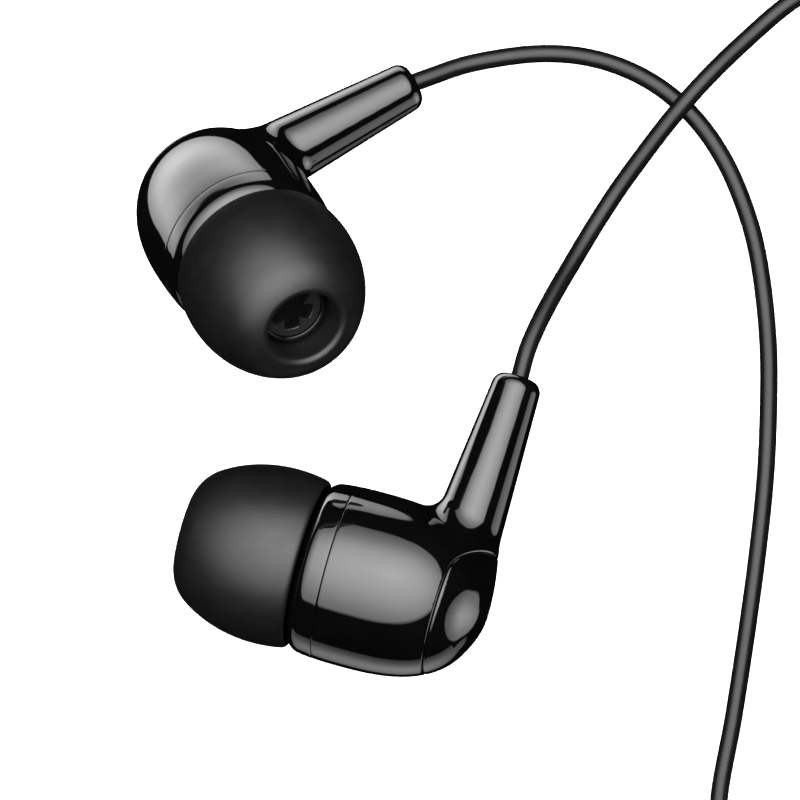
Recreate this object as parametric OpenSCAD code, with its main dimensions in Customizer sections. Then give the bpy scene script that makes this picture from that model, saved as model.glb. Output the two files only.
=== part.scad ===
// Wired in-ear earphones, lying on a surface (z = 0).
// Each earbud is drawn in its own frame: +X along the nozzle towards the ear,
// +Y along the stem, origin on the housing's axis at the seam between its shells.

/* [Housing] */
// Diameter of the round housing
body_d = 12.9; // [12.4:0.1:13.4]
// Length of the straight part behind the seam
body_straight = 4.5; // [4:0.1:5]
// Wall of the housing shells
wall = 0.95; // [0.8:0.05:1.0]
// Radius of the front shell's shoulder
shoulder_r = 1.35; // [1.0:0.05:1.5]

/* [Stem] */
// Distance from the housing's axis to the stem's end
stem_len = 17.2; // [15:0.1:20]
// Diameter of the stem at its foot
stem_foot_d = 5.77; // [5:0.01:6]
// Diameter of the stem at its end
stem_end_d = 3.5; // [3.3:0.1:4]
// Radius of the rounded edge at the stem's end
stem_edge_r = 0.9; // [0.4:0.1:0.9]

/* [Nozzle and ear tip] */
// Distance from the seam to the nozzle's end
nozzle_end = 8.9; // [8.5:0.1:9.3]
// Diameter of the nozzle's neck
nozzle_neck_d = 4.7; // [4.5:0.1:4.9]
// Diameter of the sound passage
nozzle_bore_d = 3.9; // [3.6:0.1:4.0]
// Diameter of the nozzle's lip
lip_d = 5.24; // [5.1:0.02:5.26]
// Bore of the ear tip's sleeve
tip_bore_d = 5.36; // [5.32:0.02:5.4]
// Widest diameter of the ear tip
tip_d = 12.94; // [12:0.02:13.2]
// Wall of the ear tip's skirt
tip_wall = 0.5; // [0.4:0.05:0.6]

/* [Cord] */
// Diameter of the cord to each earbud
branch_d = 1.3; // [1.2:0.02:1.34]
// Diameter of the cord from the split to the plug
main_d = 1.8; // [1.6:0.05:1.84]
// Diameter of the plug's contact pin
plug_pin_d = 3.5; // [3.5:0.1:3.5]
// Diameter of the plug's grip
plug_grip_d = 5.8; // [5:0.1:5.8]
// Length of the plug's grip
plug_grip_len = 13; // [12:1:16]

/* [Hidden] */
$fn = 96;
body_r = body_d / 2;
cavity_r = body_r - wall;
dome_x = -body_straight;

// Stem: its axis leans back from the foot, which sits on the housing's axis
stem_foot = [-8, 0, 0];
stem_lean = -0.8;
stem_tilt = atan2(stem_lean, stem_len);
stem_axis_len = norm([stem_lean, stem_len]);
stem_bore_r = 0.9;
grommet_r = 1.2;
grommet_len = 1.25;

// Back cap: the seam is straight below and turns to the rear above
cap_top = [-11, 1.4];
cap_top_r = 2.65;
cap_seam_low = [-8, -8];
cap_back_x = -14;

// Spigot of the front shell inside the rear shell
spigot_len = 1.2;
spigot_r = 5.2;

// Ear tip outline: an ellipse behind, then the rounded rim at the mouth
tip_rear_x = 2.3;
tip_wide_x = 4.6;
tip_half_len = 8.3;
tip_dome_end = 10;
nose_centre = [8.19, 2.2];
nose_r = 3.26;
mouth_round = 0.42;
sleeve_rear_x = 3.3;
sleeve_r = 3.45;

// Driver: distances along the housing's axis
driver_r = 5.1;
driver_front = 0.9;
magnet_cup_rear = -3.2;
board_rear = -3.7;

// Where each earbud lies and how it is turned
left_at = [-6.44, 8.66, 10.76];
left_turn = [-12.1, -51, -53.8];
right_at = [-0.129, -14.547, 7.145];
right_turn = [-171.3, 7.7, 164.9];

// Cord routes, from each stem's end to the coil and from the coil to the split
branch_r = branch_d / 2;
main_r = main_d / 2;
left_out = [
    [5.52, 20.8, 1.65], [7.2, 21.42, 1.3], [9, 22.05, 0.85], [11.7, 22.6, 0.65],
    [14.5, 22.9, 0.65], [17.4, 22.75, 0.65], [20.3, 22, 0.65], [23.2, 20.5, 0.65],
    [25.9, 18.1, 0.65], [27.9, 15.2, 0.65], [29.2, 12.3, 0.65], [30.1, 9.4, 0.65],
    [30.7, 6, 0.65], [31.1, 1.5, 0.65], [31.1, -3, 0.65], [30.9, -7.5, 0.65],
    [30.4, -12.5, 0.65], [29.6, -18.5, 0.65], [28.6, -25, 0.65], [27.5, -31.5, 0.65],
    [27.8, -34.4, 0.65], [29.4, -36.8, 0.65], [32.2, -37.9, 0.65], [35, -37, 0.65],
    [36.9, -34.3, 0.65], [37.7, -30, 0.65], [37.8, -24, 0.65], [37.7, -17, 0.65],
    [37.65, -9.5, 0.8], [37.65, -2, 0.95],
];
left_back = [
    [56.35, -2, 2.3], [56.45, -5, 2.15], [56.35, -8, 2], [56.25, -11, 1.9], [56.2, -14, 1.9],
];
right_out = [
    [13.06, -0.49, 5.75], [13.6, 1.45, 5.45], [14.4, 3.3, 4.75], [15.5, 5.4, 3.55], [16.8, 7.6, 2.2],
    [18.3, 10.1, 1.2], [20.1, 12.9, 1], [22.2, 15.8, 1.6], [24.3, 18.5, 2.1], [26.6, 21.1, 2], [29.6, 24, 1.1], [32.8, 26.7, 0.65], [36, 28.4, 0.65],
    [39.6, 28.9, 0.65], [43.2, 28.5, 0.65], [47, 27, 0.65], [50.4, 24.4, 0.65], [53, 21, 0.65],
    [54.8, 17.2, 0.9], [55.8, 13.2, 1.7], [56.25, 9, 2.9], [56.35, 4.5, 3.6], [56.35, -2, 3.65],
];
right_back = [
    [56.35, -2, 5], [56.75, -5, 4.75], [57.3, -8, 3.5], [57.6, -11, 2.3], [57.6, -14, 1.9],
];
main_out = [
    [56.9, -26, 1.9], [57.3, -29.5, 1.2], [59.3, -32.4, 0.9], [62.8, -33.9, 0.9],
    [67, -34, 0.9], [71.5, -33, 0.9], [76, -30.8, 0.9], [80, -27.3, 0.9], [82.8, -23, 0.95],
    [84.1, -18.5, 1.1], [84.4, -14, 1.2],
];
main_back = [
    [84.4, -14, 6.75], [84.5, -10, 6.4], [84.5, -6, 5.2], [84, -2.4, 3.9], [82.7, 0.8, 3.1],
    [80.6, 3.2, 2.95],
];

// Coils: centre, radius to the middle of the outer turn, turns and layers
coil_lift = 0.3;
coil_turns = 3;
branch_pitch = branch_d + 0.05;
branch_coil_at = [47, -2, coil_lift];
branch_coil_r = 9.35;
branch_layers = 2;
main_pitch = main_d + 0.05;
main_coil_at = [72.5, -14, coil_lift];
main_coil_r = 11.9;
main_layers = 4;
tie_angle = 20;

// Y-split, below the branch coil, and the plug beside the main coil
split_at = [56.9, -14, 1.9];
split_len = 12;
split_r = 1.9;
plug_at = [80.6, 3.2, 2.95];
plug_turn = 135;
boot_len = 7;
collar_len = 0.8;
sleeve_len = 6.6;
insulator_len = 0.6;
ring_len = 2.4;
plug_tip_len = 3.8;
pin_start = boot_len + plug_grip_len + collar_len;
ring_start = pin_start + sleeve_len + insulator_len;
tip_start = ring_start + ring_len + insulator_len;

EAR_PARTS = [
    "ear_tip", "front_shell", "nozzle_grille", "acoustic_mesh", "rear_shell", "back_cap",
    "stem_grommet", "driver_gasket", "diaphragm", "voice_coil", "driver_frame", "pole_plate",
    "magnet", "magnet_cup", "terminal_board", "lead_wires", "cord_knot", "inner_cord"
];

// ---- helpers ----

// Revolves a 2D outline of (distance along X, radius) about the X axis
module about_x(outline) {
    rotate([90, 0, 90]) rotate_extrude() polygon([for (p = outline) [p[1], p[0]]]);
}

// A round bar along X from x0 to x1
module bar(x0, x1, r) {
    translate([x0, 0, 0]) rotate([0, 90, 0]) cylinder(h = x1 - x0, r = r);
}

// A round ring along X from x0 to x1
module ring(x0, x1, outer, inner) {
    difference() {
        bar(x0, x1, outer);
        bar(x0 - 1, x1 + 1, inner);
    }
}

// Puts its children in the stem's frame: +Z along the stem from its foot
module on_stem() {
    translate(stem_foot) rotate([-90, 0, -stem_tilt]) children();
}

function arc(centre, r, from, to, steps) =
    [for (i = [0:steps]) let (a = from + (to - from) * i / steps) centre + r * [cos(a), sin(a)]];

// Ring of points round a cord at point i of its route
function tangent(route, i) =
    let (a = route[max(i - 1, 0)], b = route[min(i + 1, len(route) - 1)]) (b - a) / norm(b - a);
function cord_ring(route, i, r, sides) =
    let (t = tangent(route, i), s = cross([0, 0, 1], t), side = s / norm(s), up = cross(t, side))
    [for (k = [0:sides - 1]) route[i] + r * (cos(360 * k / sides) * side + sin(360 * k / sides) * up)];

// A cord's plain tube along a route
module tube(route, r, sides = 8) {
    last = len(route) - 1;
    points = [for (i = [0:last]) each cord_ring(route, i, r, sides)];
    walls = [
        for (i = [0:last - 1], k = [0:sides - 1])
            let (a = i * sides + k, b = i * sides + (k + 1) % sides)
            each [[a, b, b + sides], [a, b + sides, a + sides]]
    ];
    start = [for (k = [sides - 1:-1:0]) k];
    end = [for (k = [0:sides - 1]) last * sides + k];
    polyhedron(points, concat([start], walls, [end]));
}

// ---- earbud pieces, in the earbud's frame ----

module ear_tip() {
    function dome(x, grow) =
        (tip_d / 2 - grow) * sqrt(1 - pow((x - tip_wide_x) / (tip_half_len - grow), 2));
    outer = [for (i = [0:14]) let (x = tip_rear_x + (tip_dome_end - tip_rear_x) * i / 14) [x, dome(x, 0)]];
    inner = [for (i = [0:12]) let (x = 9.7 - (9.7 - tip_rear_x) * i / 12) [x, dome(x, tip_wall)]];
    bore_r = tip_bore_d / 2;
    mouth_y = bore_r + mouth_round - nose_centre.y;
    mouth_x = sqrt(pow(nose_r - mouth_round, 2) - mouth_y * mouth_y);
    turn = atan2(mouth_y, mouth_x);
    mouth_centre = nose_centre + [mouth_x, mouth_y];
    about_x(concat(
        outer, arc(nose_centre, nose_r, 54, turn + 2, 8), arc(mouth_centre, mouth_round, turn, -90, 6),
        [[sleeve_rear_x, bore_r], [sleeve_rear_x, sleeve_r], [9.3, sleeve_r]],
        inner
    ));
}

module front_shell() {
    shoulder = arc([shoulder_r - 0.6, body_r - shoulder_r], shoulder_r, 90, 0, 8);
    front_x = 2 * shoulder_r - 0.6;
    neck_r = nozzle_neck_d / 2;
    bore_r = nozzle_bore_d / 2;
    about_x(concat(
        [[0, body_r]], shoulder,
        [
            [front_x, 3.1], [front_x + 0.6, neck_r], [7.7, neck_r], [8.0, lip_d / 2], [8.5, lip_d / 2],
            [nozzle_end, lip_d / 2 - 0.2], [nozzle_end, 2.2], [nozzle_end - 0.6, 2.2],
            [nozzle_end - 0.6, bore_r], [1.1, bore_r], [1.1, spigot_r], [-spigot_len, spigot_r],
            [-spigot_len, cavity_r], [0, cavity_r]
        ]
    ));
}

module nozzle_grille() {
    teeth = 5;
    difference() {
        bar(nozzle_end - 0.6, nozzle_end - 0.15, 2.2);
        bar(nozzle_end - 1, nozzle_end + 1, 0.55);
        for (k = [0:teeth - 1])
            rotate([90 + 360 / teeth * k, 0, 0])
                translate([nozzle_end - 1, 0, 1.15])
                    rotate([0, 90, 0]) cylinder(h = 2, r = 0.48);
    }
}

module acoustic_mesh() {
    bar(7.6, nozzle_end - 0.6, nozzle_bore_d / 2);
}

// Outer form of the rear shell and the back cap together
module rear_form() {
    about_x(concat([[0, 0], [0, body_r]], arc([dome_x, 0], body_r, 90, 180, 14)));
    on_stem() rotate_extrude() polygon(concat(
        arc([0, 0], stem_foot_d / 2, -90, 0, 8),
        arc([stem_end_d / 2 - stem_edge_r, stem_axis_len - stem_edge_r], stem_edge_r, 0, 90, 5),
        [[0, stem_axis_len]]
    ));
}

// Space behind the back cap's seam
module cap_side() {
    translate([0, 0, -10]) linear_extrude(20) polygon(concat(
        [cap_seam_low],
        arc(cap_top, cap_top_r, 0, 90, 8),
        [[cap_back_x, cap_top[1] + cap_top_r], [cap_back_x, cap_seam_low[1]]]
    ));
}

// Hollow inside the housing
module cavity() {
    about_x(concat([[1, 0], [1, cavity_r]], arc([dome_x, 0], cavity_r, 90, 180, 12)));
}

module rear_shell() {
    difference() {
        rear_form();
        cavity();
        cap_side();
        on_stem() translate([0, 0, 3]) cylinder(h = stem_axis_len, r = stem_bore_r);
        on_stem() translate([0, 0, stem_axis_len - grommet_len]) cylinder(h = grommet_len + 1, r = grommet_r);
    }
}

module back_cap() {
    difference() {
        intersection() {
            rear_form();
            cap_side();
        }
        cavity();
    }
}

module stem_grommet() {
    on_stem() translate([0, 0, stem_axis_len - grommet_len]) difference() {
        cylinder(h = grommet_len - 0.35, r = grommet_r);
        translate([0, 0, -1]) cylinder(h = grommet_len + 2, r = branch_r + 0.02);
    }
}

module driver_gasket() {
    ring(driver_front, driver_front + 0.2, driver_r, 4.4);
}

module diaphragm() {
    film = 0.1;
    dome = [for (i = [0:8]) let (r = 2.1 * i / 8) [0.75 - 0.5 * pow(r / 2.1, 2), r]];
    surround = [for (i = [1:10]) let (t = i / 10) [0.25 + 0.4 * sin(180 * t), 2.1 + 2.4 * t]];
    front = concat(dome, surround, [[0.25, 4.5]]);
    back = [for (i = [len(front) - 1:-1:0]) front[i] - [film, 0]];
    about_x(concat(front, back));
}

module voice_coil() {
    ring(-1.5, 0.15, 2.25, 2.08);
}

module driver_frame() {
    difference() {
        about_x([
            [driver_front, driver_r], [driver_front, 4.5], [-0.4, 4.5], [-1.0, 3.0], [-1.6, 3.0],
            [-1.6, 3.6], [-0.9, driver_r]
        ]);
        for (k = [0:5])
            rotate([60 * k, 0, 0]) translate([-3, 0, 3.9]) rotate([0, 90, 0]) cylinder(h = 3, r = 0.35);
    }
}

module pole_plate() {
    bar(-1.4, -0.9, 2.0);
}

module magnet() {
    bar(-2.7, -1.4, 1.9);
}

module magnet_cup() {
    difference() {
        bar(magnet_cup_rear, -0.9, 3.0);
        bar(-2.7, 0, 2.5);
    }
}

module terminal_board() {
    translate([board_rear, -1.2, -1.7]) cube([magnet_cup_rear - board_rear, 2.4, 3.4]);
    for (side = [-1, 1])
        translate([board_rear, 0, side]) sphere(r = 0.4, $fn = 32);
}

module lead_wires() {
    wire_r = 0.17;
    for (side = [-1, 1]) {
        pad = [board_rear - 0.35, 0, side];
        bend = [[-4.6, 0.4, side * 0.95], [-5.6, 1.4, side * 0.75], [-6.8, 2.7, side * 0.45]];
        knot = [-7.6, 3.6, side * 0.25];
        tube(concat([pad], bend, [knot]), wire_r, 6);
    }
}

// Knot that holds the cord inside the housing
module cord_knot() {
    on_stem() translate([0, 0, 4.4]) {
        rotate_extrude($fn = 48) translate([0.55, 0]) circle(r = 0.45, $fn = 32);
        translate([0, 0, 0.3]) rotate([0, 55, 0])
            rotate_extrude($fn = 48) translate([0.6, 0]) circle(r = 0.42, $fn = 32);
    }
}

module inner_cord() {
    on_stem() translate([0, 0, 4.8]) cylinder(h = stem_axis_len - 4.8, r = branch_r);
}

// One piece of one earbud, by name
module ear_part(name) {
    if (name == "ear_tip") color([0.12, 0.12, 0.13]) ear_tip();
    if (name == "front_shell") color([0.05, 0.05, 0.05]) front_shell();
    if (name == "nozzle_grille") color([0.2, 0.2, 0.2]) nozzle_grille();
    if (name == "acoustic_mesh") color([0.3, 0.3, 0.3]) acoustic_mesh();
    if (name == "rear_shell") color([0.06, 0.06, 0.06]) rear_shell();
    if (name == "back_cap") color([0.1, 0.1, 0.1]) back_cap();
    if (name == "stem_grommet") color([0.15, 0.15, 0.15]) stem_grommet();
    if (name == "driver_gasket") color([0.2, 0.2, 0.22]) driver_gasket();
    if (name == "diaphragm") color([0.75, 0.72, 0.6]) diaphragm();
    if (name == "voice_coil") color([0.75, 0.4, 0.2]) voice_coil();
    if (name == "driver_frame") color([0.6, 0.6, 0.62]) driver_frame();
    if (name == "pole_plate") color([0.6, 0.6, 0.6]) pole_plate();
    if (name == "magnet") color([0.5, 0.5, 0.55]) magnet();
    if (name == "magnet_cup") color([0.65, 0.65, 0.68]) magnet_cup();
    if (name == "terminal_board") color([0.1, 0.4, 0.2]) terminal_board();
    if (name == "lead_wires") color([0.8, 0.5, 0.2]) lead_wires();
    if (name == "cord_knot") color([0.12, 0.12, 0.12]) cord_knot();
    if (name == "inner_cord") color([0.14, 0.14, 0.14]) inner_cord();
}

// ---- cord side, in the object's frame ----

module left_cord() {
    color([0.14, 0.14, 0.14]) {
        tube(left_out, branch_r);
        tube(left_back, branch_r);
    }
}

module right_cord() {
    color([0.14, 0.14, 0.14]) {
        tube(right_out, branch_r);
        tube(right_back, branch_r);
    }
}

module main_cord() {
    color([0.14, 0.14, 0.14]) {
        tube(main_out, main_r);
        tube(main_back, main_r);
    }
}

// Outer shape of a round coil, from layer `first` up
module coil(at, r, cord_d, pitch, first, layers) {
    inner = r - coil_turns * pitch - cord_d / 2;
    outer = r + cord_d / 2;
    translate(at + [0, 0, first * pitch])
        rotate_extrude() translate([inner, 0]) square([outer - inner, layers * pitch]);
}

module left_coil() {
    color([0.16, 0.16, 0.16])
        coil(branch_coil_at, branch_coil_r, branch_d, branch_pitch, 0, branch_layers);
}

module right_coil() {
    color([0.2, 0.2, 0.2])
        coil(branch_coil_at, branch_coil_r, branch_d, branch_pitch, branch_layers, branch_layers);
}

module main_coil() {
    color([0.16, 0.16, 0.16]) coil(main_coil_at, main_coil_r, main_d, main_pitch, 0, main_layers);
}

// Strap round a coil's cross-section
module tie(at, r, cord_d, pitch, layers, direction) {
    inner = r - coil_turns * pitch - cord_d / 2;
    width = coil_turns * pitch + cord_d;
    height = layers * pitch;
    translate([at[0], at[1], 0]) rotate(direction - tie_angle / 2)
        rotate_extrude(angle = tie_angle) difference() {
            translate([inner - coil_lift, 0]) square([width + 2 * coil_lift, height + 2 * coil_lift]);
            translate([inner, coil_lift]) square([width, height]);
        }
}

module branch_tie() {
    color([0.3, 0.3, 0.3])
        tie(branch_coil_at, branch_coil_r, branch_d, branch_pitch, 2 * branch_layers, 90);
}

module main_tie() {
    color([0.3, 0.3, 0.3]) tie(main_coil_at, main_coil_r, main_d, main_pitch, main_layers, 200);
}

module y_split() {
    edge = 0.6;
    color([0.12, 0.12, 0.12])
        translate(split_at) rotate([0, 0, -90]) about_x(concat(
            [[0, 0]],
            arc([edge, split_r - edge], edge, 180, 90, 5),
            [[split_len * 0.6, split_r]],
            arc([split_len - edge, split_r - 0.3 - edge], edge, 90, 0, 5),
            [[split_len, 0]]
        ));
}

module on_plug() {
    translate(plug_at) rotate([0, 0, plug_turn]) children();
}

// Tapered strain relief, ribbed by grooves
module plug_boot() {
    ribs = 4;
    color([0.13, 0.13, 0.13]) on_plug() difference() {
        about_x([[0, 0], [0, main_r + 0.35], [boot_len, main_r + 1.0], [boot_len, 0]]);
        for (k = [1:ribs])
            ring(k * boot_len / (ribs + 1) - 0.25, k * boot_len / (ribs + 1) + 0.25, 4, main_r + 0.15);
    }
}

module plug_grip() {
    r = plug_grip_d / 2;
    edge = 1;
    color([0.1, 0.1, 0.1]) on_plug() translate([boot_len, 0, 0]) about_x(concat(
        [[0, 0], [0, r - edge]],
        arc([edge, r - edge], edge, 180, 90, 6),
        [[plug_grip_len - 0.4, r], [plug_grip_len, r - 0.4], [plug_grip_len, 0]]
    ));
}

module plug_collar() {
    color([0.8, 0.65, 0.35]) on_plug() bar(pin_start - collar_len, pin_start, 2.2);
}

module plug_sleeve() {
    color([0.8, 0.65, 0.35]) on_plug() bar(pin_start, pin_start + sleeve_len, plug_pin_d / 2);
}

module plug_ring() {
    color([0.8, 0.65, 0.35]) on_plug() bar(ring_start, ring_start + ring_len, plug_pin_d / 2);
}

module plug_insulators() {
    color([0.08, 0.08, 0.08]) on_plug() {
        bar(ring_start - insulator_len, ring_start, plug_pin_d / 2);
        bar(ring_start + ring_len, tip_start, plug_pin_d / 2);
    }
}

module plug_tip() {
    r = plug_pin_d / 2;
    color([0.8, 0.65, 0.35]) on_plug() translate([tip_start, 0, 0]) about_x([
        [0, 0], [0, r], [0.5, r], [1.4, r * 0.72], [2.0, r * 0.95], [2.6, r * 0.9],
        [plug_tip_len, r * 0.25], [plug_tip_len, 0]
    ]);
}

for (name = EAR_PARTS) {
    translate(left_at) rotate(left_turn) ear_part(name);
    translate(right_at) rotate(right_turn) ear_part(name);
}
left_cord();
right_cord();
main_cord();
left_coil();
right_coil();
main_coil();
branch_tie();
main_tie();
y_split();
plug_boot();
plug_grip();
plug_collar();
plug_sleeve();
plug_ring();
plug_insulators();
plug_tip();
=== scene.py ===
"""Wired in-ear earphones on a pale surface, seen from above.

Lengths are in millimetres in this script and become metres where a mesh is made (MM).
Each earbud has its own frame: +X along the nozzle, +Y along the stem, origin on the
housing's axis at the seam, as in the CAD source."""
import math

import bmesh
import bpy
import numpy as np
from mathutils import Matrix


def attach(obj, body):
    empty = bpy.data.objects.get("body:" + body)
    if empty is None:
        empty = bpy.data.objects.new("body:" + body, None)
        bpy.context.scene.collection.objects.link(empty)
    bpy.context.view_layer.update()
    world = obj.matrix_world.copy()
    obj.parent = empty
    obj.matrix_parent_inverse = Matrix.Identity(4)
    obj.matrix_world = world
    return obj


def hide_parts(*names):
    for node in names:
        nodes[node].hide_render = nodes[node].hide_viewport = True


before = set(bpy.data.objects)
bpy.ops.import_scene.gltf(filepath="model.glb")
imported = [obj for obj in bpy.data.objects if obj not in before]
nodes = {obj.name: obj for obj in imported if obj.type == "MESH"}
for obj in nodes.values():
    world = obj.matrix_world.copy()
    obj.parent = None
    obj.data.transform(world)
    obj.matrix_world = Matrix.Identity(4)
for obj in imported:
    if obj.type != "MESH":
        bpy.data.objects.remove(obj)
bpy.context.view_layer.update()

import openvdb
from mathutils import Euler, Matrix, Vector

MM = 0.001
ROOT = "earphones"
SIDES = ("left", "right")

# ---------------------------------------------------------------- driving dimensions

BODY_R = 6.45
BODY_MIDDLE, BODY_HALF, BODY_POWER = -2.0, 9.0, 2.6
WALL = 0.95
STEM_FOOT = np.array([-8.0, 0.0, 0.0])
STEM_LEAN, STEM_LEN = -0.8, 17.2
STEM_FOOT_R, STEM_END_R, STEM_EDGE_R = 2.885, 1.75, 0.9
STEM_FILLET = 1.3
GROMMET_R, GROMMET_DROP, GROMMET_LEN = 1.15, 0.3, 0.9
CAP_TOP, CAP_TOP_R, CAP_SEAM_LOW = (-11.0, 1.4), 2.65, (-8.0, -8.0)
TIP_R, TIP_REAR, TIP_WIDE, TIP_HALF = 6.47, 2.3, 4.6, 8.3
TIP_WALL, TIP_BORE_R, SLEEVE_R, SLEEVE_REAR = 0.5, 2.68, 3.45, 3.3
TIP_DOME_END, NOSE_CENTRE, NOSE_R, MOUTH_ROUND = 10.0, (8.19, 2.2), 3.26, 0.42
NOZZLE_END, NECK_R, LIP_R, SOUND_R = 8.9, 2.35, 2.62, 1.95

EAR_AT = {"left": (-6.44, 8.66, 10.76), "right": (-0.129, -14.547, 7.145)}
EAR_TURN = {"left": (-12.1, -51.0, -53.8), "right": (-171.3, 7.7, 164.9)}

BRANCH_D, MAIN_D = 1.3, 1.8
COIL_LIFT, COIL_TURNS = 0.3, 3
BRANCH_COIL = {"at": (47.0, -2.0), "r": 9.35, "pitch": BRANCH_D + 0.05}
MAIN_COIL = {"at": (72.5, -14.0), "r": 11.9, "pitch": MAIN_D + 0.05}
SPLIT_AT, SPLIT_LEN, SPLIT_R = (56.9, -14.0, 1.9), 12.0, 1.9
PLUG_AT, PLUG_TURN = (80.6, 3.2, 2.95), 135.0
BOOT_LEN, GRIP_LEN, GRIP_R, COLLAR_LEN = 7.0, 13.0, 2.9, 0.8
SLEEVE_LEN, INSULATOR_LEN, RING_LEN, PLUG_TIP_LEN, PIN_R = 6.6, 0.6, 2.4, 3.8, 1.75

# Cord routes, as in the CAD source
LEFT_OUT = [
    (5.52, 20.8, 1.65), (7.2, 21.42, 1.3), (9, 22.05, 0.85), (11.7, 22.6, 0.65),
    (14.5, 22.9, 0.65), (17.4, 22.75, 0.65), (20.3, 22, 0.65), (23.2, 20.5, 0.65),
    (25.9, 18.1, 0.65), (27.9, 15.2, 0.65), (29.2, 12.3, 0.65), (30.1, 9.4, 0.65),
    (30.7, 6, 0.65), (31.1, 1.5, 0.65), (31.1, -3, 0.65), (30.9, -7.5, 0.65),
    (30.4, -12.5, 0.65), (29.6, -18.5, 0.65), (28.6, -25, 0.65), (27.5, -31.5, 0.65),
    (27.8, -34.4, 0.65), (29.4, -36.8, 0.65), (32.2, -37.9, 0.65), (35, -37, 0.65),
    (36.9, -34.3, 0.65), (37.7, -30, 0.65), (37.8, -24, 0.65), (37.7, -17, 0.65),
    (37.65, -9.5, 0.8), (37.65, -2, 0.95),
]
LEFT_BACK = [
    (56.35, -2, 2.3), (56.45, -5, 2.15), (56.35, -8, 2), (56.25, -11, 1.9), (56.2, -14, 1.9),
]
RIGHT_OUT = [
    (13.06, -0.49, 5.75), (13.6, 1.45, 5.45), (14.4, 3.3, 4.75), (15.5, 5.4, 3.55),
    (16.8, 7.6, 2.2), (18.3, 10.1, 1.2), (20.1, 12.9, 1), (22.2, 15.8, 1.6),
    (24.3, 18.5, 2.1), (26.6, 21.1, 2), (29.6, 24, 1.1), (32.8, 26.7, 0.65),
    (36, 28.4, 0.65), (39.6, 28.9, 0.65), (43.2, 28.5, 0.65), (47, 27, 0.65),
    (50.4, 24.4, 0.65), (53, 21, 0.65), (54.8, 17.2, 0.9), (55.8, 13.2, 1.7),
    (56.25, 9, 2.9), (56.35, 4.5, 3.6), (56.35, -2, 3.65),
]
RIGHT_BACK = [
    (56.35, -2, 5), (56.75, -5, 4.75), (57.3, -8, 3.5), (57.6, -11, 2.3), (57.6, -14, 1.9),
]
MAIN_OUT = [
    (56.9, -26, 1.9), (57.3, -29.5, 1.2), (59.3, -32.4, 0.9), (62.8, -33.9, 0.9),
    (67, -34, 0.9), (71.5, -33, 0.9), (76, -30.8, 0.9), (80, -27.3, 0.9), (82.8, -23, 0.95),
    (84.1, -18.5, 1.1), (84.4, -14, 1.2),
]
MAIN_BACK = [
    (84.4, -14, 6.75), (84.5, -10, 6.4), (84.5, -6, 5.2), (84, -2.4, 3.9), (82.7, 0.8, 3.1),
    (80.6, 3.2, 2.95),
]

# ---------------------------------------------------------------- camera

VIEW_CENTRE = (4.44, -2.16)
CAMERA_HEIGHT = 800.0
SHARP_HEIGHT = 6.5
PIXELS_PER_MM = 13.92
PICTURE_PIXELS = 800
SENSOR = 36.0


def make_camera():
    data = bpy.data.cameras.new("camera")
    data.sensor_width = SENSOR
    data.lens = SENSOR * (CAMERA_HEIGHT - SHARP_HEIGHT) * PIXELS_PER_MM / PICTURE_PIXELS
    data.clip_start, data.clip_end = 0.01, 20
    camera = bpy.data.objects.new("camera", data)
    camera.location = (VIEW_CENTRE[0] * MM, VIEW_CENTRE[1] * MM, CAMERA_HEIGHT * MM)
    bpy.context.scene.collection.objects.link(camera)
    bpy.context.scene.camera = camera


make_camera()

# ---------------------------------------------------------------- materials


def material(name, colour, roughness, **sockets):
    """A Principled material; the keyword names set its sockets of the same name."""
    made = bpy.data.materials.new(name)
    made.use_nodes = True
    shader = made.node_tree.nodes["Principled BSDF"]
    shader.inputs["Base Color"].default_value = (*colour, 1)
    shader.inputs["Roughness"].default_value = roughness
    for socket, value in sockets.items():
        shader.inputs[socket.replace("_", " ")].default_value = value
    return made


def noise(made, scale_mm, detail=4.0, stretch=(1, 1, 1)):
    """A noise texture in the object's own space whose features are about scale_mm across."""
    tree = made.node_tree
    place = tree.nodes.new("ShaderNodeTexCoord")
    spread = tree.nodes.new("ShaderNodeMapping")
    spread.inputs["Scale"].default_value = [s / (scale_mm * MM) for s in stretch]
    tree.links.new(place.outputs["Object"], spread.inputs["Vector"])
    texture = tree.nodes.new("ShaderNodeTexNoise")
    texture.inputs["Scale"].default_value = 1
    texture.inputs["Detail"].default_value = detail
    tree.links.new(spread.outputs["Vector"], texture.inputs["Vector"])
    return texture.outputs["Fac"]


def ramp(made, value, stops):
    """A colour ramp over value with (position, colour) stops."""
    node = made.node_tree.nodes.new("ShaderNodeValToRGB")
    while len(node.color_ramp.elements) < len(stops):
        node.color_ramp.elements.new(0.5)
    for element, (place, colour) in zip(node.color_ramp.elements, stops):
        element.position = place
        element.color = (*colour, 1)
    made.node_tree.links.new(value, node.inputs["Fac"])
    return node.outputs["Color"]


def spread_value(made, value, low, high):
    """Maps a 0.3 to 0.7 noise value to the range low to high."""
    node = made.node_tree.nodes.new("ShaderNodeMapRange")
    node.inputs["From Min"].default_value = 0.3
    node.inputs["From Max"].default_value = 0.7
    node.inputs["To Min"].default_value = low
    node.inputs["To Max"].default_value = high
    made.node_tree.links.new(value, node.inputs["Value"])
    return node.outputs["Result"]


def drive(made, socket, output):
    made.node_tree.links.new(output, made.node_tree.nodes["Principled BSDF"].inputs[socket])


def bump(made, value, depth_mm, strength=1.0):
    node = made.node_tree.nodes.new("ShaderNodeBump")
    node.inputs["Strength"].default_value = strength
    node.inputs["Distance"].default_value = depth_mm * MM
    made.node_tree.links.new(value, node.inputs["Height"])
    drive(made, "Normal", node.outputs["Normal"])


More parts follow.
